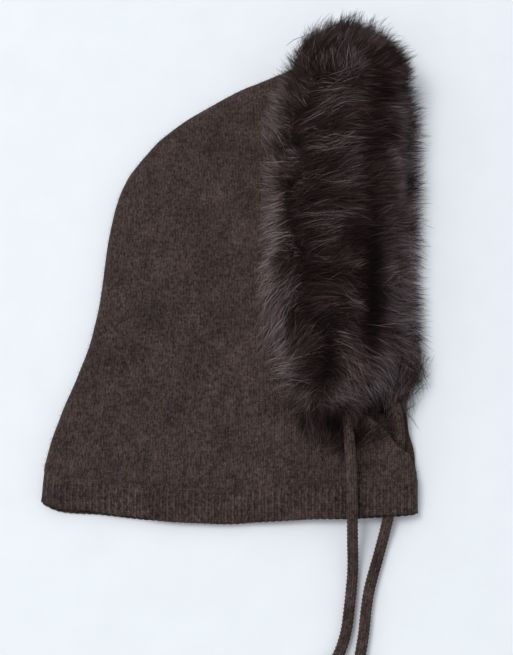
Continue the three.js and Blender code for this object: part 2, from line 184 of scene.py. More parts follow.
def strand_tones(steps, light, hue, power=1.0):
    """For each point of the ribbons: how far along, half the strand's lightness, and its hue.

    With a power above 1 a strand stays dark for longer before it turns light.
    """
    share = np.concatenate([np.repeat(np.linspace(0, 1, steps)[:-1], 2), [1]])
    shape = (len(light), len(share))
    columns = (share[None] ** np.reshape(power, (-1, 1)), light[:, None] / 2, hue[:, None])
    return np.stack([np.broadcast_to(column, shape) for column in columns], axis=2).reshape(-1, 3)


def strand_piece(name, curves, widths, roll, normals, tones, material):
    """Strands on a surface with these normals, each turned from them a little to the sky."""
    facing = unit(normals + UPWARDS * 0.25)
    points, faces, uv = ribbons(curves, widths, facing, roll)
    lie = np.repeat(facing, 2 * curves.shape[1] - 1, axis=0)
    return mesh_piece(name, points, faces, material, tones, lie, uv)


def node(tree, kind, inputs=None, **settings):
    made = tree.nodes.new(kind)
    for key, value in settings.items():
        setattr(made, key, value)
    for key, value in (inputs or {}).items():
        if isinstance(value, bpy.types.NodeSocket):
            tree.links.new(value, made.inputs[key])
        else:
            made.inputs[key].default_value = value
    return made


def sums(tree, operation, *values):
    return node(tree, "ShaderNodeMath", dict(enumerate(values)), operation=operation).outputs[0]


def weighted(tree, sockets, shares):
    """The sum of the named sockets, each times its share."""
    total = 0.0
    for name, share in shares.items():
        total = sums(tree, "ADD", total, sums(tree, "MULTIPLY", sockets[name], share))
    return total


def noise(tree, vector, scale, detail=2.0, roughness=0.5, stretch=(1, 1, 1)):
    scaled = node(tree, "ShaderNodeVectorMath", {0: vector, 1: stretch}, operation="MULTIPLY").outputs[0]
    inputs = {"Vector": scaled, "Scale": scale, "Detail": detail, "Roughness": roughness}
    return node(tree, "ShaderNodeTexNoise", inputs).outputs["Fac"]


def ramp(tree, value, stops):
    made = node(tree, "ShaderNodeValToRGB", {"Fac": value})
    elements = made.color_ramp.elements
    while len(elements) < len(stops):
        elements.new(1.0)
    for element, (position, colour) in zip(elements, stops):
        element.position = position
        element.color = (*linear(colour), 1)
    return made.outputs["Color"]


def linear(colour):
    """Linear light of a colour given as the eye reads it, in parts of 255."""
    share = np.asarray(colour, float) / 255
    return tuple(np.where(share <= 0.04045, share / 12.92, ((share + 0.055) / 1.055) ** 2.4))


def multiplied_colours(tree, first, second):
    made = node(tree, "ShaderNodeMix", {0: 1.0}, data_type="RGBA", blend_type="MULTIPLY")
    tree.links.new(first, made.inputs[6])
    tree.links.new(second, made.inputs[7])
    return made.outputs[2]


def add_bump(tree, shader, height, distance):
    bump = node(tree, "ShaderNodeBump", {"Height": height, "Distance": distance * MM, "Strength": 1.0})
    tree.links.new(bump.outputs[0], shader.inputs["Normal"])


def mesh_tones(tree):
    """The three numbers that a mesh holds at each point, in a knit its relief, which also paints shade, and
    its stitch's number.
    """
    tones = node(tree, "ShaderNodeAttribute", attribute_name="tones")
    return node(tree, "ShaderNodeSeparateColor", {0: tones.outputs["Color"]}).outputs


def new_material(name, finish):
    """A material with constant values set on its shader. Also returns where its surface is in space."""
    material = bpy.data.materials.new(name)
    material.use_nodes = True
    tree = material.node_tree
    shader = tree.nodes["Principled BSDF"]
    for socket, value in finish.items():
        shader.inputs[socket].default_value = value
    return material, tree, shader, node(tree, "ShaderNodeTexCoord").outputs["Object"]


# A printed stitch: its size, how its column sways, its legs and loop, its mean height, and how much of it
# a carved knit takes on
WALE = 2.5
STITCH = 1.8
SWAY = 1.6
SWAY_SCALE = 45
LEG_PLACE = 0.45
LEG_STEEPNESS = 1.8
LOOP_STEEPNESS = 1.4
LEG_SLANT = 0.9
PRINTED_MEAN = 0.37
PRINTED_SHARE = 0.75

# The yarn's patterns, as scale, detail, roughness and stretch, and their shares in colour, shade, height
YARN_PATTERNS = {
    "fibre": (1500, 3.0, 0.7, (1, 1, 1)),
    "marl": (420, 3.0, 0.65, (1, 1, 1)),
    "cloud": (130, 2.0, 0.6, (1, 1, 1)),
    "grain": (620, 1.0, 0.5, (0.55, 1.25, 1)),
    "patch": (42, 3.0, 0.6, (1, 1, 1)),
}
# The shade multiplies the colour: the relief's share is painted shade, darker in the stitch valleys, and
# the other shares are the yarn's own mottling.
COLOUR_SHARES = {"marl": 0.4, "patch": 0.38, "cloud": 0.22}
PAINTED_SHADE_AND_MOTTLE_SHARES = {"relief": 1.35, "fibre": 0.7, "single": 0.75, "grain": 1.3}
PAINTED_SHADE_AND_MOTTLE_MIDDLE = 0.97
PAINTED_SHADE_AND_MOTTLE_LEAST = 0.2
PRINTED_HEIGHTS = {"relief": 1.0, "fibre": 0.5}
CARVED_HEIGHTS = {"fibre": 1.0}
KNIT_STOPS = [
    (0.32, (44, 33, 31)), (0.44, (61, 48, 48)), (0.50, (71, 58, 50)), (0.56, (76, 61, 60)),
    (0.68, (98, 82, 75)),
]
KNIT_FINISH = {
    "Roughness": 0.95, "Specular IOR Level": 0.15, "Sheen Weight": 0.12, "Sheen Roughness": 0.6,
    "Sheen Tint": (*linear((150, 132, 126)), 1),
}


def from_middle(tree, value):
    """How far a number is from the middle between two whole ones."""
    return sums(tree, "ABSOLUTE", sums(tree, "SUBTRACT", sums(tree, "FRACT", value), 0.5))


def printed_stitches(tree, place, wale):
    """Columns of V shaped stitches that run along Y: their height, and each one's own number."""
    split = node(tree, "ShaderNodeSeparateXYZ", {0: place})
    sway = sums(tree, "MULTIPLY", noise(tree, place, SWAY_SCALE), SWAY * MM)
    across = sums(tree, "DIVIDE", sums(tree, "ADD", split.outputs["X"], sway), wale * MM)
    edge = sums(tree, "MULTIPLY", from_middle(tree, across), 2.0)
    leg = sums(tree, "ABSOLUTE", sums(tree, "SUBTRACT", edge, LEG_PLACE))
    leg = sums(tree, "SUBTRACT", 1.0, sums(tree, "MULTIPLY", leg, LEG_STEEPNESS))
    up = sums(tree, "DIVIDE", split.outputs["Y"], STITCH * MM)
    up = sums(tree, "ADD", up, sums(tree, "MULTIPLY", edge, LEG_SLANT))
    loop = sums(tree, "SUBTRACT", 1.0, sums(tree, "MULTIPLY", from_middle(tree, up), LOOP_STEEPNESS))
    number = node(tree, "ShaderNodeCombineXYZ", {
        0: sums(tree, "FLOOR", sums(tree, "MULTIPLY", across, 2.0)), 1: sums(tree, "FLOOR", up),
    })
    single = node(tree, "ShaderNodeTexWhiteNoise", {"Vector": number.outputs[0]}, noise_dimensions="2D")
    return sums(tree, "MULTIPLY", leg, loop), single.outputs["Value"]


def knit_material(name, wale=None, carved=False):
    """A mottled, fuzzy yarn with painted shade in the valleys of its stitches: the mesh's, its own printed
    to a wale, or both.
    """
    material, tree, shader, place = new_material(name, KNIT_FINISH)
    yarn = {kind: noise(tree, place, *pattern) for kind, pattern in YARN_PATTERNS.items()}
    stitches = printed_stitches(tree, place, wale) if wale else mesh_tones(tree)[:2]
    yarn["relief"], yarn["single"] = stitches
    if wale and carved:
        fine = sums(tree, "MULTIPLY", sums(tree, "SUBTRACT", yarn["relief"], PRINTED_MEAN), PRINTED_SHARE)
        yarn["relief"] = sums(tree, "ADD", mesh_tones(tree)[0], fine)
    colour = ramp(tree, weighted(tree, yarn, COLOUR_SHARES), KNIT_STOPS)
    # Painted shade in the stitch valleys, times the yarn's own mottling
    shade = sums(tree, "SUBTRACT", weighted(tree, yarn, PAINTED_SHADE_AND_MOTTLE_SHARES), PAINTED_SHADE_AND_MOTTLE_MIDDLE)
    shade = sums(tree, "MAXIMUM", shade, PAINTED_SHADE_AND_MOTTLE_LEAST)
    shades = node(tree, "ShaderNodeCombineColor", {0: shade, 1: shade, 2: shade}).outputs[0]
    tree.links.new(multiplied_colours(tree, colour, shades), shader.inputs["Base Color"])
    height = weighted(tree, yarn, PRINTED_HEIGHTS if wale else CARVED_HEIGHTS)
    add_bump(tree, shader, height, distance=0.5)
    return material


# How light a strand is at its root, the parts of its hue, and how much its own normal counts
ROOT_LIGHT = 0.3
HUE_SHARES = {"patch": 0.6, "strand": 0.4}
OWN_NORMAL = 0.8
FUR_STOPS = [
    (0.0, (15, 7, 6)), (0.15, (26, 15, 14)), (0.3, (48, 34, 33)), (0.5, (78, 64, 62)),
    (0.75, (110, 98, 99)), (1.0, (142, 132, 135)),
]
FUR_TINTS = [
    (0.3, (255, 236, 236)), (0.45, (255, 244, 226)), (0.58, (250, 238, 248)), (0.7, (248, 250, 248)),
]
FUZZ_STOPS = [(0.1, (60, 48, 45)), (0.5, (100, 85, 78))]
FUZZ_TINTS = [(0.3, (240, 230, 226)), (0.7, (250, 240, 228))]
UNDERFUR_STOPS = [(0.3, (14, 7, 8)), (0.7, (31, 20, 21))]
FLOOR_STOPS = [(0.3, (238, 241, 245)), (0.7, (241, 244, 248))]


def strand_material(name, stops, tints, roughness):
    """Hair or fibre that is darker at the root, and differs from strand to strand."""
    finish = {"Roughness": roughness, "Specular IOR Level": 0.07}
    material, tree, shader, place = new_material(name, finish)
    share, light, hue = mesh_tones(tree)
    along = sums(tree, "ADD", sums(tree, "MULTIPLY", share, 1 - ROOT_LIGHT), ROOT_LIGHT)
    colour = ramp(tree, sums(tree, "MULTIPLY", along, light), stops)
    hues = {"patch": noise(tree, place, scale=38), "strand": hue}
    tint = ramp(tree, weighted(tree, hues, HUE_SHARES), tints)
    tree.links.new(multiplied_colours(tree, colour, tint), shader.inputs["Base Color"])
    lie = node(tree, "ShaderNodeAttribute", attribute_name="lie").outputs["Vector"]
    own = node(tree, "ShaderNodeNewGeometry").outputs["Normal"]
    own = node(tree, "ShaderNodeVectorMath", {0: own, "Scale": OWN_NORMAL}, operation="SCALE").outputs[0]
    facing = node(tree, "ShaderNodeVectorMath", {0: own, 1: lie}, operation="ADD").outputs[0]
    facing = node(tree, "ShaderNodeVectorMath", {0: facing}, operation="NORMALIZE").outputs[0]
    tree.links.new(facing, shader.inputs["Normal"])
    return material


def underfur_material():
    """The dense wool under the hair, seen only between the strands."""
    finish = {"Roughness": 0.9, "Specular IOR Level": 0.03}
    material, tree, shader, place = new_material("fur_under", finish)
    fine = noise(tree, place, scale=900, detail=3.0, roughness=0.7, stretch=(0.4, 1.4, 1.4))
    tree.links.new(ramp(tree, fine, UNDERFUR_STOPS), shader.inputs["Base Color"])
    add_bump(tree, shader, fine, distance=1.2)
    return material


def floor_material():
    finish = {"Roughness": 0.6, "Specular IOR Level": 0.2}
    material, tree, shader, place = new_material("pale_floor", finish)
    colour = ramp(tree, noise(tree, place, scale=30, detail=3.0), FLOOR_STOPS)
    tree.links.new(colour, shader.inputs["Base Color"])
    return material


def reach_along(line):
    return np.concatenate([[0], np.cumsum(np.linalg.norm(np.diff(line, axis=0), axis=1))])


def resampled(line, reach, marks):
    return np.stack([np.interp(marks, reach, column) for column in line.T], axis=1)


def smooth_route(points, pitch, samples=24):
    """A centripetal curve through the points, sampled at an even pitch. Also returns its length."""
    ends = [2 * points[0] - points[1], *points, 2 * points[-1] - points[-2]]
    dense = []
    for p0, p1, p2, p3 in zip(ends, ends[1:], ends[2:], ends[3:]):
        d0, d1, d2 = (np.linalg.norm(b - a) ** 0.5 for a, b in ((p0, p1), (p1, p2), (p2, p3)))
        m1 = ((p1 - p0) / d0 - (p2 - p0) / (d0 + d1) + (p2 - p1) / d1) * d1
        m2 = ((p2 - p1) / d1 - (p3 - p1) / (d1 + d2) + (p3 - p2) / d2) * d1
        t = np.linspace(0, 1, samples, endpoint=False)[:, None]
        dense.append(
            (2 * t**3 - 3 * t**2 + 1) * p1 + (t**3 - 2 * t**2 + t) * m1
            + (3 * t**2 - 2 * t**3) * p2 + (t**3 - t**2) * m2
        )
    dense = np.concatenate([*dense, points[-1:]])
    reach = reach_along(dense)
    even = np.linspace(0, reach[-1], round(reach[-1] / pitch) + 1)
    return resampled(dense, reach, even), reach[-1]


# The ties, the form of their stitches and ends, and their painted shade: the tone of a stitch valley and
# what a crest adds
TIE_DIAMETER = 8
TIE_WALES = 6
TIE_WALE_POINTS = 8
TIE_STITCH = 2.8
TIE_RELIEF = 0.8
TIE_SWELL = 1.3
TIE_PITCH = 0.7
TIE_FULLNESS = 0.6
TIE_SLANT = 0.9
TIE_STEEPNESS = 1.3
TIE_ROUNDING = 3.2
TIE_PAINTED_SHADE = (0.18, 0.65)
RIGHT_TIE = np.array([
    (85.2, 76, 28.4), (86.2, 68, 25.6), (87.2, 60, 23.2), (88, 50, 21), (89, 40, 20),
    (89.7, 28, 19.8), (90.2, 16, 20), (90.6, 6, 20), (90.8, -4, 18), (90.8, -14, 13.4),
    (90.9, -24, 8.2), (90.8, -34, 5), (90.1, -45, 4.2), (88.8, -60, 4.2), (87.2, -74, 4.2),
    (83.6, -87, 4.2), (78, -99, 4.2), (72.5, -110, 4.2),
])
LEFT_TIE = np.array([
    (119.5, 89, 16.2), (121, 82, 15.2), (122.6, 73, 13.3), (123.4, 64, 10.9), (122.4, 54, 8.6),
    (120.6, 43, 7.8), (119, 28, 7.8), (117, 13, 7.8), (114.2, 0, 6.8), (111.4, -11, 4.6),
    (108.6, -22, 4.2), (105.4, -34, 4.2), (102.4, -47, 4.2), (100.6, -61, 4.2), (99.4, -75, 4.2),
    (97.4, -89, 4.2), (93.6, -106, 4.2),
])


def tie_piece(name, nodes, route, material):
    """A knitted cord: wales of V shaped stitches round a tube with rounded ends."""
    line, length = smooth_route(route, TIE_PITCH)
    along = unit(np.gradient(line, axis=0))
    side = unit(np.cross(along, (0, 0, 1)))
    lift = np.cross(side, along)
    around = TIE_WALES * TIE_WALE_POINTS
    angle = 2 * math.pi * np.arange(around) / around
    at = np.linspace(0, length, len(line))
    wale = angle * TIE_WALES / (2 * math.pi)
    edge = np.abs(wale % 1 - 0.5) * 2
    leg = (1 - np.abs(edge - 0.5) * 2) ** TIE_FULLNESS
    loop = 1 - np.abs((at[:, None] / TIE_STITCH - TIE_SLANT * edge[None]) % 1 - 0.5) * TIE_STEEPNESS
    raised = leg[None] * loop
    radius = TIE_DIAMETER / 2 - TIE_RELIEF + TIE_SWELL * TIE_RELIEF * raised
    from_end = np.minimum(at, length - at)
    closing = np.sqrt(np.clip(1 - (1 - np.minimum(from_end / TIE_ROUNDING, 1)) ** 2, 0.0004, 1))
    radius = radius * closing[:, None]
    points = line[:, None] + radius[..., None] * (
        np.cos(angle)[None, :, None] * side[:, None] + np.sin(angle)[None, :, None] * lift[:, None]
    )
    points[..., 2] = np.maximum(points[..., 2], 0.1)
    ring = np.arange(around)[None]
    faces = [ring_quads(len(line), around), ring[:, ::-1], ring + (len(line) - 1) * around]
    rows = round(TIE_STITCH / TIE_PITCH)
    single = chance.random((len(line) // rows + 1, TIE_WALES * 2))
    single = np.repeat(np.repeat(single, rows, axis=0)[: len(line)], TIE_WALE_POINTS // 2, axis=1)
    # The first tone is painted shade, darker in the stitch valleys and lighter on the crests
    tones = np.stack([TIE_PAINTED_SHADE[0] + raised * TIE_PAINTED_SHADE[1], single, raised], axis=2).reshape(-1, 3)
    piece = mesh_piece(name, points.reshape(-1, 3), faces, material, tones)
    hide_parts(*nodes)
    return piece


HEM = np.array([
    (-144, 10.3), (-131, 6), (-94, 3.4), (-60, 0.4), (-30, -1.9),
    (0, -2), (35, 0.6), (75, 3.6), (109, 5), (136, 8.3),
])
BAND_HEIGHT = 24.5


def hem_at(x):
    """The hem's height along its width."""
    line, _ = smooth_route(np.column_stack([HEM, np.zeros(len(HEM))]), 1.0)
    return np.interp(x, line[:, 0], line[:, 1])


# How far above the band all edges are sharp, and how sharp others are that turn by a large angle
SHARP_MARGIN = 0.8
BEND_ANGLE = 1
BEND_CREASE = 0.6


def softened(name, source, levels, material):
    """A CAD wall's mesh with rounded rims and a smooth surface."""
    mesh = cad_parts[source].data.copy()
    mesh.name = name
    work = bmesh.new()
    work.from_mesh(mesh)
    bmesh.ops.remove_doubles(work, verts=work.verts, dist=0.01 * MM)
    bmesh.ops.join_triangles(work, faces=work.faces, angle_face_threshold=0.9, angle_shape_threshold=3.0)
    work.verts.index_update()
    places = np.array([vert.co for vert in work.verts]) / MM - HEM_MIDDLE
    at_band = places[:, 1] - hem_at(places[:, 0]) < BAND_HEIGHT + SHARP_MARGIN
    crease = work.edges.layers.float.new("crease_edge")
    for edge in work.edges:
        if all(at_band[vert.index] for vert in edge.verts):
            edge[crease] = 1.0
            edge.smooth = False
        elif len(edge.link_faces) == 2 and edge.calc_face_angle(0) > BEND_ANGLE:
            edge[crease] = BEND_CREASE
    work.to_mesh(mesh)
    work.free()
    mesh.materials.clear()
    mesh.materials.append(material)
    rough = linked(name, mesh)
    finer = rough.modifiers.new("finer", "SUBSURF")
    finer.levels = finer.render_levels = levels
    apply_modifiers(rough)
    return rough


def apply_modifiers(piece):
    mesh = bpy.data.meshes.new_from_object(piece.evaluated_get(bpy.context.evaluated_depsgraph_get()))
    piece.modifiers.clear()
    piece.data = mesh
    mesh.name = piece.name
    mesh.shade_smooth()


def vectors_of(mesh, kind):
    found = np.empty(len(mesh.vertices) * 3, np.float32)
    mesh.vertices.foreach_get(kind, found)
    return found.reshape(-1, 3).astype(float)


def points_of(mesh):
    return vectors_of(mesh, "co") / MM - HEM_MIDDLE


def set_points(mesh, points):
    mesh.vertices.foreach_set("co", placed(points).astype(np.float32).ravel())
    mesh.update()


# The loft of the sides, and from what height to what height it grows
LOFT_WAVES = ((0.22, 34, 14, 5), (0.1, 12, 14, 6))
LOFT_Z = (1, 6)

# Soft folds of the upper side: the line in plan, the width and the depth
FOLDS = ((((94, 74), (95.5, 60), (97, 40)), 4.0, 6.0),)

# Where the front edge is eased at the chin: the place, how far the pull reaches, and the pull in plan
RIGHT_PULLS = (((120, 57), 9.0, (-0.5, -3.5)),)
LEFT_PULLS = (((132, 55), 11.0, (3.0, 0.0)), ((128, 80), 14.0, (1.8, 0.0)))

# How far the front edge is tucked behind the band's edge, and where
TUCK_BACK = 1.2
TUCK_X = (128, 134)
TUCK_Y = (62, 46)


def side_piece(name, source, levels, material, folds, pulls):
    piece = softened(name, source, levels, material)
    points = points_of(piece.data)
    shift = sum(waves(points, *row) for row in LOFT_WAVES)
    for line, wide, deep in folds:
        _, gap = nearest_on(np.array(line, float), points)
        shift -= deep * bell(gap, wide)
    points[:, 2] += shift * ease(points[:, 2], *LOFT_Z)
    for place, wide, pull in pulls:
        gap = np.linalg.norm(points[:, :2] - place, axis=1)
        points[:, :2] += np.array(pull) * bell(gap, wide)[:, None]
    points[:, 0] -= TUCK_BACK * ease(points[:, 0], *TUCK_X) * ease(points[:, 1], *TUCK_Y)
    points[:, 2] = np.maximum(points[:, 2], 0.0)
    set_points(piece.data, points)
    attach(piece, "root")
    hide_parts(source)
    return piece


# The band, a flattened ring: its wall, ends and bends, its two layers, and where the upper one swells
BAND_WALL = 2.4
BAND_BACK_X = -142
BAND_FRONT_X = 135
BAND_BEND = 6
BAND_LOW_Z = BAND_WALL / 2 + 0.2
BAND_HIGH_Z = 10.8
BAND_BEND_Z = 6
BAND_SWELL = 3
BAND_SWELL_X = (-20, 76)

# Its ribs, and its rows of points as shares of its height
RIB_PITCH = 4.9
RIB_RELIEF = 1.1
RIB_POINTS = 8
RIB_FULLNESS = 0.8
BAND_ROWS = 15
ROW_SHARES = np.append(np.linspace(0.06, 0.995, BAND_ROWS - 1), 1)

# Its rim, which rolls and rounds within a share of the height, and its tucked and thinned top
RIB_FADE = (0.98, 0.8)
RIM_ROLL = 0.35
RIM_SHARE = 0.1
BAND_TUCK = 1.2
RIM_WAVES = (0.3, 30, 6, 9)
RIM_SCALLOP = 0.35

# The upper layer sinks at the rim, less at the ties, and hangs over. The lower one drops at the back.
RIM_SINK = 6.2
RIM_SINK_AT_TIES = 3.4
TIES_X = (50, 80)
TIE_OUT_X = 113
TIE_OUT_WIDTH = 16
SINK_SHARES = (0.6, 0)
RIM_OVERHANG = 1.2
OVERHANG_X = (-112, -86)
OVERHANG_SHARES = (0.5, 0)
BACK_DROP = 2
BACK_DROP_X = -40

# The band's relief, which sets its bump and is painted shade in its colour: its mean, the ribs' flanks, the
# valleys between them and the lift away from the top
BAND_RELIEF_AND_SHADE = (0.36, 0.19, 0.28, 0.03)
BAND_STITCHES = 0.35


def band_loop():
    """The line of the flattened ring, in X and Z, with the same number of points on each rib."""
    x_flat = np.linspace(BAND_BACK_X + BAND_BEND, BAND_FRONT_X - BAND_BEND, 400)
    high = BAND_HIGH_Z + BAND_SWELL * ease(x_flat, *BAND_SWELL_X)
    turn = np.linspace(0, math.pi / 2, 16)[1:-1]

    def corner(x_edge, inwards, z_flat):
        x = x_edge + inwards * BAND_BEND * (1 - np.cos(turn))
        return np.stack([x, BAND_BEND_Z + (z_flat - BAND_BEND_Z) * np.sin(turn)], axis=1)

    lower = np.stack([x_flat, np.full_like(x_flat, BAND_LOW_Z)], axis=1)
    upper = np.stack([x_flat, high], axis=1)
    closed = np.concatenate([
        lower, corner(BAND_FRONT_X, -1, BAND_LOW_Z)[::-1], [[BAND_FRONT_X, BAND_BEND_Z]],
        corner(BAND_FRONT_X, -1, high[-1]), upper[::-1], corner(BAND_BACK_X, 1, high[0])[::-1],
        [[BAND_BACK_X, BAND_BEND_Z]], corner(BAND_BACK_X, 1, BAND_LOW_Z), lower[:1],
    ])
    reach = reach_along(closed)
    ribs = round(reach[-1] / RIB_PITCH)
    even = np.linspace(0, reach[-1], ribs * RIB_POINTS, endpoint=False)
    return resampled(closed, reach, even), ribs, reach[-1]


def band_piece(name, source, material):
    """A flattened ring of rib stitch, with ribs on both faces and a lower edge that rolls a little."""
    loop, ribs, length = band_loop()
    along = unit(np.roll(loop, -1, axis=0) - np.roll(loop, 1, axis=0))
    outward = np.stack([along[:, 1], -along[:, 0]], axis=1)
    phase = np.arange(len(loop)) / RIB_POINTS
    crest = np.abs(np.cos(math.pi * phase))
    rib = crest**RIB_FULLNESS * 2 - 1
    lower_layer = np.clip(1 - loop[:, 1] / BAND_BEND_Z, 0, 1)
    upper_layer = np.clip(loop[:, 1] / BAND_BEND_Z - 1, 0, 1)
    drop = BACK_DROP * lower_layer * np.clip((BACK_DROP_X - loop[:, 0]) / BAND_HEIGHT, 0, 1)
    sink = RIM_SINK + (RIM_SINK_AT_TIES - RIM_SINK) * ease(loop[:, 0], *TIES_X)
    sink = sink * upper_layer * (1 - bell(loop[:, 0] - TIE_OUT_X, TIE_OUT_WIDTH))
    overhang = RIM_OVERHANG * upper_layer * ease(loop[:, 0], *OVERHANG_X)
    hem = hem_at(loop[:, 0])
    rim_waves = waves(np.column_stack([loop, np.zeros(len(loop))]), *RIM_WAVES)
    mean, flank, valley, lift = BAND_RELIEF_AND_SHADE
    single = chance.random((BAND_ROWS, ribs * 2))
    shares = np.concatenate([ROW_SHARES, ROW_SHARES[::-1]])
    points, tones = [], []
    for height, side in zip(shares, np.repeat([1.0, -1.0], BAND_ROWS)):
        at_top = height == 1
        fade = ease(height, *RIB_FADE)
        relief = RIB_RELIEF / 2 * fade * (rib * 0.5 - 0.5) * side
        roll = RIM_ROLL * math.exp(-((height - ROW_SHARES[0]) / RIM_SHARE) ** 2)
        thick = BAND_WALL / 2 * math.sqrt(1 - max(0.0, 1 - height / RIM_SHARE) ** 2)
        offset = side * (thick + roll - 0.3 * at_top) + relief
        place = loop + outward * offset[:, None]
        y = hem + BAND_HEIGHT * height - drop * (1 - height) + BAND_TUCK * at_top
        y = y + rim_waves * (1 - height) - overhang * ease(height, *OVERHANG_SHARES)
        y = y - RIM_SCALLOP * rib * (1 - height) ** 6
        z = place[:, 1] - sink * ease(height, *SINK_SHARES)
        points.append(np.stack([place[:, 0], y, np.maximum(z, 0.0)], axis=1))
        # Painted shade: the ribs' flanks darker and the valleys between them darker still
        raised = mean + fade * (flank * np.cos(4 * math.pi * phase) - valley * (1 - crest) ** 2 + lift)
        stitch = 0.5 + BAND_STITCHES * (single[int(height * BAND_ROWS) % BAND_ROWS] - 0.5)
        tones.append(np.stack([raised, np.repeat(stitch, RIB_POINTS // 2), raised], axis=1))
    faces = [ring_quads(len(shares), len(loop), closed=True)]
    piece = mesh_piece(name, np.concatenate(points), faces, material, np.concatenate(tones))
    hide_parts(source)
    return piece


# The partings that the hair is combed away from, in plan, how they bend and how far they are felt
NEAR_SPINE = np.array([
    (60, 342.0), (54, 318), (46, 275), (43, 232), (49, 190), (62, 152), (70, 122), (72, 98),
])
FAR_SPINE = np.array([(84, 372.0), (84, 300), (90, 220), (98, 150), (104, 118)])
SPINE_WAVES = (5, 60, 8, 51)
SPINE_REACH = 14

# How far the comb turns to the left of its way out, in radians, at heights on the hood
LEAN_Y = (70, 110, 160, 220, 270, 310, 345, 400)
LEAN_RIGHT = (-0.3, -0.75, -0.35, 0.05, 0.5, 0.9, 0.65, 0.0)
LEAN_LEFT = (0.2, 0.6, 0.45, 0.25, 0.0, -0.5, -0.4, 0.0)
LEAN_FAR = (-0.5, -0.5, -0.35, -0.05, 0.1, 0.2, 0.2, 0.0)

# It turns less far to the right and high up, wanders most by the parting and droops unevenly.
LEAN_CUT = 0.8
LEAN_CUT_GAP = (18, 50)
LEAN_CUT_Y = (240, 300)
LEAN_WAVES = (0.2, 40, 12, 21)
LEAN_RIPPLES = (1, 13, 12, 22)
DROOP_WAVES = (0.12, 25, 10, 23)

# The slit between the legs, and where the fold over the crown joins them
SLIT_LINE = ((70, 19), (150, 26))
FOLD_Y = 384
FOLD_X = 100

# Where up the hood the crown's hair begins, which stands out in tufts
CROWN_Y = (335, 375)

# The hair lies lower along the parting, above a height.
TROUGH_DEPTH = 7
TROUGH_WIDTH = 19
TROUGH_Z = (30, 45)

# Lighter and darker parts of the fur: where, how wide and tall, and how much lighter
# Part of this is the fur's own paler and darker patches, and part is painted light, such as the far leg
# lightened where the near leg shades it.
FUR_TONE_AND_PAINTED_LIGHT = (
    (101, 96, 14, 18, 0.9), (82, 114, 14, 24, -0.15), (74, 97, 12, 14, -0.3),
    (133, 168, 10, 82, 0.85), (124, 345, 18, 45, -0.3), (52, 385, 40, 16, -0.08),
    (50, 262, 9, 24, 0.3), (16, 170, 8, 130, 3.3), (32, 108, 7, 18, 1.9),
    (28, 133, 8, 13, 1.4), (62, 325, 24, 35, 0.12), (40, 88, 8, 10, 0.6),
    (77, 62, 8, 7, -0.8), (88, 195, 24, 70, -0.25), (110, 162, 7, 60, -1.15),
    (133, 270, 9, 26, 0.2), (130, 318, 8, 32, 0.3), (112, 300, 11, 50, -0.4),
    (34, 200, 9, 80, 0.08), (120, 98, 12, 20, 0.75), (60, 96, 18, 24, -0.28),
)
LIGHT_WAVES = (0.18, 22, 12, 41)
# The hair is darker along the parting, partly for the dark roots that show there and partly as painted
# shade in its groove: how much, and how wide.
PARTING_PAINTED_SHADE = 0.36
PARTING_SHADE_WIDTH = 13

# Where the tips are cut back: where, how wide and tall, how far, and on which legs
FUR_TRIMS = (
    (98, 70, 22, 13, 11, "upper"), (84, 58, 12, 12, 12, "upper"),
    (28, 100, 14, 34, 5, "upper"), (36, 80, 12, 14, 6, "upper"),
    (118, 394, 20, 18, 16, "both"), (128, 372, 13, 15, 8, "both"),
    (26, 374, 15, 20, 8, "both"), (146, 205, 16, 135, 5, "both"),
    (138, 82, 14, 18, 13, "lower"),
)

# The wool under the hair, which lies deeper where it is open than where it is covered
UNDER_VOXEL = 3.2
UNDER_DEPTHS = (6, 0.6)
UNDER_WAVES = (0.2, 12, 12, 31)
UNDER_TRIM = 1.2
UNDER_LEGS_Z = (12, 18)
UNDER_LOWEST = 0.4

# The fringe over the knit, drawn back apart from a share of it that stands out
FRINGE_FACING = (0.3, 0.8)
FRINGE_Y = (340, 300)
FRINGE_SHARE = 0.4
FRINGE_MEAN = 4
FRINGE_MOST = 12
FRINGE_BACK = 3.5

# Where the pale fringe begins and is at its full, and how much longer its hair stays dark
FRINGE_X = (30, 16)
FRINGE_POWER = 0.7

# How far the upper leg's hair reaches over the slit, and where
OVER_SLIT = 10
OVER_SLIT_Y = (215, 270)
OVER_SLIT_X = (92, 112)

# Where tips are held back and where they end, in reach from the outer form and towards the face
REACH_LIMITS = (9, 20)
FACE_LIMITS = (146, 156)

# Strands of each kind: steps, number in each piece, length, how deep the tips lie under the outer form at
# most, thickness, how unevenly they are combed and how far they gather into locks
HAIR_KINDS = (
    ("wool", 4, 34000, 27.0, -4.5, 0.27, 0.24, 0.6),
    ("hair", 5, 27000, 38.0, -2.5, 0.23, 0.11, 0.8),
)
HAIR_PIECES = ("a", "b")

# Spots tried for each strand wanted, as many lie in the slit or against the knit
SPARE = 2.3

# Strands gather round leaders into wide locks and then fine ones: the leg, its leaders and how strongly
# they draw, less at the sides and more at the crown
GATHERINGS = (("upper", 900, 0.3), ("lower", 190, 0.35), ("upper", 7000, 0.85), ("lower", 1900, 0.85))
GATHER_POWER = 1.5

# Some of the hair is bolder than the rest, and either pale or dark.
BOLD_SHARE = 0.12
BOLD_WIDTH = 0.5
BOLD_DEPTH = 0.35
PALE_HAIR = 1.5
DARK_HAIR = 0.4

# How far pale hair is dimmed at a full trim
TRIM_DIM = 0.75
TRIM_FULL = 8

# How unevenly ribbons are rolled, in radians
STRAND_ROLL = 0.6

# The knit that hair lies on, as a grid's corners and pitch, how far above it hair stays, how deep under it
# hair belongs inside, and how far above the floor strands stay
KNIT_GRID = ((-20, 20), (140, 390), 2.0)
HAIR_CLEARANCE = 0.5
HAIR_INSIDE = 3.4
FLOOR_CLEARANCE = 0.2

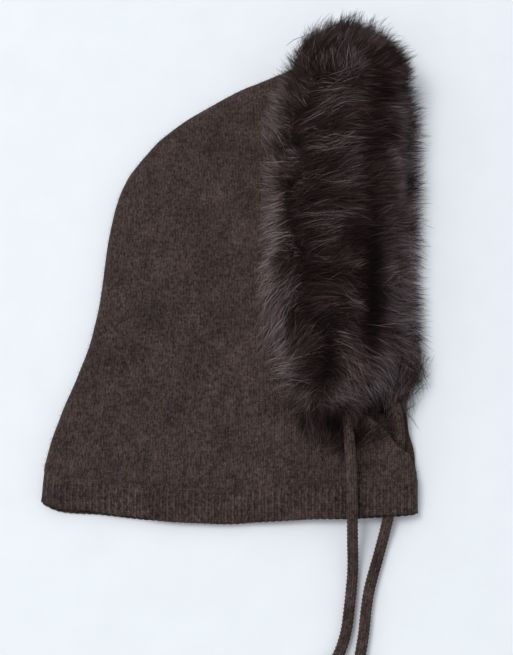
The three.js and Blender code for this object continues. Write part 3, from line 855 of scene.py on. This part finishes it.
# The haze on the knit, most of it on the rims, where the surface is steep, and none on the underside
FUZZ_TRIED = 120000
FUZZ_COUNT = 14000
FUZZ_RIM = 0.75
FUZZ_OFF_RIM = 0.35
FUZZ_UNDERSIDE = -0.5

# A place is open if nothing stands over it this near.
OPEN_REACH = 26

# Hair doesn't grow where the fur faces the floor and lies this low.
BOTTOM_FACING = -0.75
BOTTOM_Z = 8


def scan(objects):
    """The points and faces of the meshes, in millimetres from the hem, and a search tree over them."""
    points, faces = [], []
    for item in objects:
        mesh = item.data
        mesh.calc_loop_triangles()
        found = np.empty(len(mesh.loop_triangles) * 3, np.int32)
        mesh.loop_triangles.foreach_get("vertices", found)
        faces.append(found.reshape(-1, 3) + sum(len(part) for part in points))
        points.append(points_of(mesh))
    points, faces = np.concatenate(points), np.concatenate(faces)
    return points, faces, BVHTree.FromPolygons(points.tolist(), faces.tolist())


def sample(points, faces, count):
    a, b, c = (points[faces[:, corner]] for corner in range(3))
    cross = np.cross(b - a, c - a)
    area = np.linalg.norm(cross, axis=1)
    chosen = chance.choice(len(faces), count, p=area / area.sum())
    u, v = chance.random((2, count))
    over = u + v > 1
    u[over], v[over] = 1 - u[over], 1 - v[over]
    u, v = u[:, None], v[:, None]
    spots = a[chosen] * (1 - u - v) + b[chosen] * u + c[chosen] * v
    return spots, unit(cross[chosen])


def open_places(places, normals, around, start):
    """Which places on a surface have nothing over them, from a little way off it."""
    rays = zip((places + start * normals).tolist(), normals.tolist())
    return np.array([around.ray_cast(place, normal, OPEN_REACH)[0] is None for place, normal in rays])


def nearest_on(line, spots):
    """For each spot, the nearest point of a line of corners, in plan, and how far it is."""
    best = np.full(len(spots), np.inf)
    found = np.zeros((len(spots), 2))
    for start, end in zip(line, line[1:]):
        way = end - start
        share = np.clip(((spots[:, :2] - start) @ way) / (way @ way), 0, 1)
        place = start + share[:, None] * way
        gap = np.linalg.norm(spots[:, :2] - place, axis=1)
        closer = gap < best
        best[closer], found[closer] = gap[closer], place[closer]
    return found, best


def hill(places, x, y, wide, tall):
    return np.exp(-(((places[:, 0] - x) / wide) ** 2) - ((places[:, 1] - y) / tall) ** 2)


def trough(gap, height):
    """How much lower the hair lies at a gap from the parting."""
    return TROUGH_DEPTH * bell(gap, TROUGH_WIDTH) * ease(height, *TROUGH_Z)


def combed(tips, near, uneven):
    """The way the hair lies at each tip, in plan. Also returns how far the parting is."""
    wander = np.array(tips)
    wander[:, 0] += waves(tips * (1, 1, 0), *SPINE_WAVES)
    spine_near, gap_near = nearest_on(NEAR_SPINE, wander)
    spine_far, gap_far = nearest_on(FAR_SPINE, wander)
    gap = np.where(near, gap_near, gap_far)
    comb = unit(wander[:, :2] - np.where(near[:, None], spine_near, spine_far))
    right, left, far = (np.interp(tips[:, 1], LEAN_Y, table) for table in (LEAN_RIGHT, LEAN_LEFT, LEAN_FAR))
    rightwards = ease(comb[:, 0], -0.5, 0.5)
    right = right * (1 - LEAN_CUT * ease(gap, *LEAN_CUT_GAP) * ease(tips[:, 1], *LEAN_CUT_Y))
    lean = np.where(near, right * rightwards + left * (1 - rightwards), far)
    close = np.exp(-gap / SPINE_REACH)
    lean = lean + waves(tips, *LEAN_WAVES) + (0.09 + 0.3 * close) * waves(tips, *LEAN_RIPPLES)
    lean = lean + chance.normal(0, 1, len(tips)) * (uneven + 0.45 * close)
    x, y = comb.T
    c, s = np.cos(lean), np.sin(lean)
    return np.column_stack([x * c - y * s, x * s + y * c, np.zeros(len(comb))]), gap


def hair_curves(tips, normals, near, length, depth, uneven, steps):
    """The strands that end at the tips: combed away from the parting, rising first and then lying down."""
    comb, gap = combed(tips, near, uneven)
    up = np.clip(normals[:, 2], -0.2, 1)
    run = np.minimum(length * 0.86, gap * 0.92 + 4)
    steep = np.sqrt(np.maximum(length**2 - run**2, 0)) * 0.45
    rise = np.maximum(-6 + 16 * up, np.minimum(steep, 16) * np.clip(up, 0, 1))
    rise = np.where(near, rise, rise * 0.75) * depth
    roots = tips - comb * run[:, None]
    roots[:, 2] -= rise
    start = unit(comb * 0.55 + UPWARDS * (0.15 + 0.6 * up[:, None]))
    droop = 0.1 + waves(tips, *DROOP_WAVES)
    end = unit(comb - UPWARDS * (droop * (1 - 0.4 * up))[:, None])
    reach = np.linalg.norm(tips - roots, axis=1)[:, None]
    t = np.linspace(0, 1, steps)[None, :, None]
    p0, p3 = roots[:, None], tips[:, None]
    p1, p2 = p0 + (start * reach / 3)[:, None], p3 - (end * reach / 3)[:, None]
    return (1 - t) ** 3 * p0 + 3 * t * (1 - t) ** 2 * p1 + 3 * t**2 * (1 - t) * p2 + t**3 * p3


def gathered(curves, leaders, share):
    """Draws each strand to its nearest leader, more so at the tip. Also returns the leader's number."""
    tree = KDTree(len(leaders))
    for number, place in enumerate(leaders[:, -1]):
        tree.insert(place, number)
    tree.balance()
    owner = np.array([tree.find(place)[1] for place in curves[:, -1].tolist()])
    t = np.linspace(0, 1, curves.shape[1])[None, :, None]
    weight = share[:, None, None] * t**GATHER_POWER
    return curves + (leaders[owner] - curves) * weight, owner


def top_heights(tree, low, high, pitch):
    """The heights of a surface's upper side over a grid, or -1 where there is none."""
    xs = np.arange(low[0], high[0] + pitch, pitch)
    ys = np.arange(low[1], high[1] + pitch, pitch)
    sky = 200
    hits = [[tree.ray_cast((x, y, sky), (0, 0, -1))[0] for y in ys] for x in xs]
    return xs, ys, np.array([[-1.0 if hit is None else hit.z for hit in row] for row in hits])


def lifted(curves, surface):
    """Keeps strands above a surface. What lies deep under it is inside the hood and stays there."""
    xs, ys, heights = surface
    i = np.clip(np.round((curves[..., 0] - xs[0]) / (xs[1] - xs[0])).astype(int), 0, len(xs) - 1)
    j = np.clip(np.round((curves[..., 1] - ys[0]) / (ys[1] - ys[0])).astype(int), 0, len(ys) - 1)
    floor = heights[i, j]
    inside = (curves[..., 0] > xs[0]) & (curves[..., 0] < xs[-1])
    inside &= (curves[..., 1] > ys[0]) & (curves[..., 1] < ys[-1])
    over = (floor > 0) & inside & (floor + HAIR_CLEARANCE - curves[..., 2] < HAIR_INSIDE)
    need = np.where(over, floor + HAIR_CLEARANCE, FLOOR_CLEARANCE)
    curves[..., 2] = np.maximum(curves[..., 2], need)
    return curves


def outer_spots(points, faces, around, count):
    """Points on the outer form of the fur, without its slit, its hollow and what touches the knit."""
    spots, normals = sample(points, faces, count)
    kept = open_places(spots, normals, around, start=0.4)
    kept &= (normals[:, 2] > BOTTOM_FACING) | (spots[:, 2] > BOTTOM_Z)
    return spots[kept], normals[kept]


def trims(places, near):
    shares = {"upper": near, "lower": 1 - near, "both": 1}
    return sum(inwards * hill(places, *spot) * shares[legs] for *spot, inwards, legs in FUR_TRIMS)


def underfur_piece(name, source, around, material):
    """The fur's outer form, drawn in to where the hair grows dense."""
    body = linked(name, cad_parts[source].data.copy())
    even = body.modifiers.new("even", "REMESH")
    even.mode = "VOXEL"
    even.voxel_size = UNDER_VOXEL * MM
    apply_modifiers(body)
    mesh = body.data
    mesh.materials.clear()
    mesh.materials.append(material)
    place, normal = points_of(mesh), vectors_of(mesh, "normal")
    free = open_places(place, normal, around, start=1.5)
    deep = np.where(free, *UNDER_DEPTHS) * (1 + waves(place, *UNDER_WAVES))
    place = place - normal * deep[:, None]
    spine, gap = nearest_on(NEAR_SPINE, place)
    cut = trims(place, ease(place[:, 2], *UNDER_LEGS_Z)) * UNDER_TRIM
    place[:, :2] -= unit(place[:, :2] - spine) * cut[:, None]
    place[:, 2] -= trough(gap, place[:, 2]) * free
    place[:, 2] = np.maximum(place[:, 2], UNDER_LOWEST)
    set_points(mesh, place)
    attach(body, "root")
    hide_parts(source)


def held_back(values, start, end):
    """Values past the start are slowed down to stay below the end."""
    room = end - start
    return np.where(values > start, end - room * np.exp(-np.maximum(values - start, 0) / room), values)


def on_upper_leg(spots):
    """Which spots on the fur belong to its upper leg or the fold over the crown."""
    (x0, z0), (x1, z1) = SLIT_LINE
    near = spots[:, 2] > z0 + (spots[:, 0] - x0) * (z1 - z0) / (x1 - x0)
    return near | ((spots[:, 1] > FOLD_Y) & (spots[:, 0] < FOLD_X))


def tip_places(spots, normals, near, deep, trim):
    """The tips of hair that grows to about the outer form, cut back, strayed and hanging over by place."""
    count = len(spots)
    spine_near, gap_near = nearest_on(NEAR_SPINE, spots)
    spine_far, _ = nearest_on(FAR_SPINE, spots)
    away = unit(spots[:, :2] - np.where(near[:, None], spine_near, spine_far))
    sideways = np.clip(1 - normals[:, 2], 0, 1)
    outwards = chance.uniform(deep, 1.0, count) + chance.exponential(1.5, count)
    outwards += sideways * chance.exponential(2.2, count)
    crown = ease(spots[:, 1], *CROWN_Y)
    stray = chance.random(count) < 0.06 + 0.16 * sideways + 0.1 * crown
    stray = stray * np.minimum(chance.exponential(4.0 + 2.0 * crown, count), 10 + 5 * crown)
    stray = stray * np.maximum(trim < 2, crown)
    leftwards = near * ease(-normals[:, 0], *FRINGE_FACING) * ease(spots[:, 1], *FRINGE_Y)
    fringe = np.minimum(chance.exponential(FRINGE_MEAN, count), FRINGE_MOST)
    fringe = leftwards * (fringe * (chance.random(count) < FRINGE_SHARE) - FRINGE_BACK)
    lift = (outwards + stray) * (0.45 + 0.7 * sideways) + fringe * 0.5
    tips = spots + normals * lift[:, None]
    over = OVER_SLIT * ease(spots[:, 1], *OVER_SLIT_Y) * near * ease(spots[:, 0], *OVER_SLIT_X)
    tips[:, :2] += away * (chance.normal(0.6, 3.0, count) + over + fringe - trim)[:, None]
    tips[:, 2] -= 0.5 * over + np.abs(chance.normal(0, 1.2, count))
    shift = tips - spots
    reach = np.maximum(np.linalg.norm(shift, axis=1, keepdims=True), 0.1)
    tips = spots + shift * held_back(reach, *REACH_LIMITS) / reach
    tips[:, 0] = held_back(tips[:, 0], *FACE_LIMITS)
    tips[:, 2] -= near * trough(gap_near, spots[:, 2])
    return tips


def strand_plan(spots, normals, near, trim, kind, depth):
    """Curves of one kind of hair over the outer form.

    A strand with a depth below 1 comes up sooner and lies on the others for more of its length.
    """
    _, steps, _, length, deep, _, uneven, _ = kind
    count = len(spots)
    tips = tip_places(spots, normals, near, deep, trim)
    lengths = length * chance.uniform(0.8, 1.1, count)
    curves = hair_curves(tips, normals, near, lengths, depth, uneven, steps)
    bow = chance.normal(0, 0.7, (count, 1, 3))
    t = np.linspace(0, 1, steps)[None, :, None]
    return curves + bow * np.sin(math.pi * t * chance.uniform(1, 2.2, (count, 1, 1)))


def tone_and_painted_light(tips, near):
    """How light the hair is in each part of the fur, partly painted light, and darker in the parting,
    partly as painted shade.
    """
    _, gap = nearest_on(NEAR_SPINE, tips)
    # Darker along the parting, partly painted shade in its groove
    found = 1 - PARTING_PAINTED_SHADE * bell(gap, PARTING_SHADE_WIDTH) * near
    # The fur's own paler and darker patches, and painted light where the hair lies in shadow
    for *spot, gain in FUR_TONE_AND_PAINTED_LIGHT:
        found += gain * hill(tips, *spot)
    return found * (1 + waves(tips, *LIGHT_WAVES))


def hair_pieces(source, around, surface, material):
    points, faces, _ = scan([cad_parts[source]])
    for kind in HAIR_KINDS:
        name, steps, most, _, _, thick, _, gather = kind
        wanted = most * len(HAIR_PIECES)
        spots, normals = outer_spots(points, faces, around, int(wanted * SPARE))
        spots, normals = spots[:wanted], normals[:wanted]
        count = len(spots)
        rank = chance.random(count)
        pale, dark = rank < BOLD_SHARE, rank > 1 - BOLD_SHARE
        near = on_upper_leg(spots)
        trim = trims(spots, near * 1.0)
        curves = strand_plan(spots, normals, near, trim, kind, np.where(pale | dark, BOLD_DEPTH, 1.0))
        place_share = 0.5 + 0.5 * np.clip(normals[:, 2], 0, 1)
        place_share = np.maximum(place_share, 0.5 + 0.9 * ease(spots[:, 1], *CROWN_Y))
        hue = np.zeros(count)
        for leg, leaders, strength in GATHERINGS:
            own = np.flatnonzero(near if leg == "upper" else ~near)
            share = chance.uniform(0.15, 1.0, len(own)) * strength * place_share[own] * gather
            curves[own], owner = gathered(curves[own], curves[own[:leaders]], share)
            hue[own] = chance.random(leaders)[owner]
        curves = lifted(curves, surface)
        contrast = np.where(pale, PALE_HAIR, np.where(dark, DARK_HAIR, 1.0))
        # The lightness holds painted light from the fur's table and painted shade along the parting.
        light = tone_and_painted_light(curves[:, -1], near) * chance.uniform(0.65, 1.35, count) * contrast
        light = light * (0.5 + 0.95 * hue)
        light = light * (1 - TRIM_DIM * np.clip(trim / TRIM_FULL, 0, 1) * pale)
        power = 1 + FRINGE_POWER * near * ease(curves[:, -1, 0], *FRINGE_X)
        bold = 1 + BOLD_WIDTH * (pale | dark)
        for number, letter in enumerate(HAIR_PIECES):
            own = np.arange(number, count, len(HAIR_PIECES))
            roll = chance.normal(0, STRAND_ROLL, len(own))
            widths = thick * chance.uniform(0.5, 1.3, len(own)) * bold[own]
            tones = strand_tones(steps, light[own], hue[own], power[own])
            called = f"fur_{name}_{letter}"
            piece = strand_piece(called, curves[own], widths, roll, normals[own], tones, material)


def fuzz_piece(name, pieces, around, material):
    """Loose ends of wool that stand off the knit, most along its rims."""
    points, faces, _ = scan(pieces)
    spots, normals = sample(points, faces, FUZZ_TRIED)
    kept = chance.random(len(spots)) < np.where(np.abs(normals[:, 2]) < FUZZ_RIM, 1.0, FUZZ_OFF_RIM)
    kept &= normals[:, 2] > FUZZ_UNDERSIDE
    spots, normals = spots[kept], normals[kept]
    free = open_places(spots, normals, around, start=2.5)
    spots, normals = spots[free][:FUZZ_COUNT], normals[free][:FUZZ_COUNT]
    count = len(spots)
    way = unit(unit(chance.normal(0, 1, (count, 3))) + normals * 0.7)
    bend = unit(chance.normal(0, 1, (count, 3)) + normals * 0.3)
    long = chance.uniform(1.2, 3.4, (count, 1))
    ends = spots + unit(way + bend * 0.7) * long
    curves = np.stack([spots - normals * 0.4, spots + way * long * 0.5, ends], axis=1)
    curves[..., 2] = np.maximum(curves[..., 2], FLOOR_CLEARANCE)
    widths = chance.uniform(0.09, 0.16, count)
    roll = chance.normal(0, STRAND_ROLL, count)
    tones = strand_tones(3, chance.uniform(0.6, 1.3, count), chance.random(count))
    piece = strand_piece(name, curves, widths, roll, normals, tones, material)


def fur_pieces(material, body_material):
    """The fur trim. Returns the search tree over the whole CAD model."""
    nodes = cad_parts
    _, _, around = scan(nodes.values())
    _, _, knit_top = scan([nodes["right_side"], nodes["left_side"]])
    surface = top_heights(knit_top, *KNIT_GRID)
    underfur_piece("underfur", "fur_trim", around, body_material)
    hair_pieces("fur_trim", around, surface, material)
    return around


def add_window():
    """A broad soft light, placed in metres from the part's origin and aimed at it."""
    data = bpy.data.lights.new("window", "AREA")
    data.shape = "DISK"
    data.size = 2.2
    data.energy = 91
    data.color = (1.0, 0.99, 0.97)
    place = Vector((-1.6, 0.65, 4.35))
    aim = (-place).to_track_quat("-Z", "Y").to_matrix().to_4x4()
    linked("window", data).matrix_world = Matrix.Translation(place) @ aim


def add_setting():
    mesh = bpy.data.meshes.new("pale_floor")
    mesh.from_pydata([(-4, -4, 0), (4, -4, 0), (4, 4, 0), (-4, 4, 0)], [], [(0, 1, 2, 3)])
    mesh.materials.append(floor_material())
    floor = linked("pale_floor", mesh)
    world = bpy.data.worlds.new("pale_room")
    world.use_nodes = True
    background = world.node_tree.nodes["Background"]
    background.inputs["Color"].default_value = (0.90, 0.95, 1.0, 1)
    background.inputs["Strength"].default_value = 0.68
    scene = bpy.context.scene
    scene.world = world
    add_window()
    scene.view_settings.view_transform = "Standard"
    scene.view_settings.look = "None"


add_camera()
knit = knit_material("wool_knit", WALE)
carved = knit_material("wool_carved")
ribbed = knit_material("wool_rib", RIB_PITCH / 2, carved=True)
fur = strand_material("fur_hair", FUR_STOPS, FUR_TINTS, roughness=0.55)
fuzz = strand_material("wool_fuzz", FUZZ_STOPS, FUZZ_TINTS, roughness=0.9)
underfur = underfur_material()
add_setting()
made = [
    tie_piece("right_tie_cord", ["right_tie"], RIGHT_TIE, carved),
    tie_piece("left_tie_cord", ["left_tie"], LEFT_TIE, carved),
    side_piece("right_side_knit", "right_side", 2, knit, FOLDS, RIGHT_PULLS),
    side_piece("left_side_knit", "left_side", 1, knit, (), LEFT_PULLS),
    band_piece("rib_band_knit", "rib_band", ribbed),
]
around = fur_pieces(fur, underfur)
fuzz_piece("knit_fuzz", made, around, fuzz)
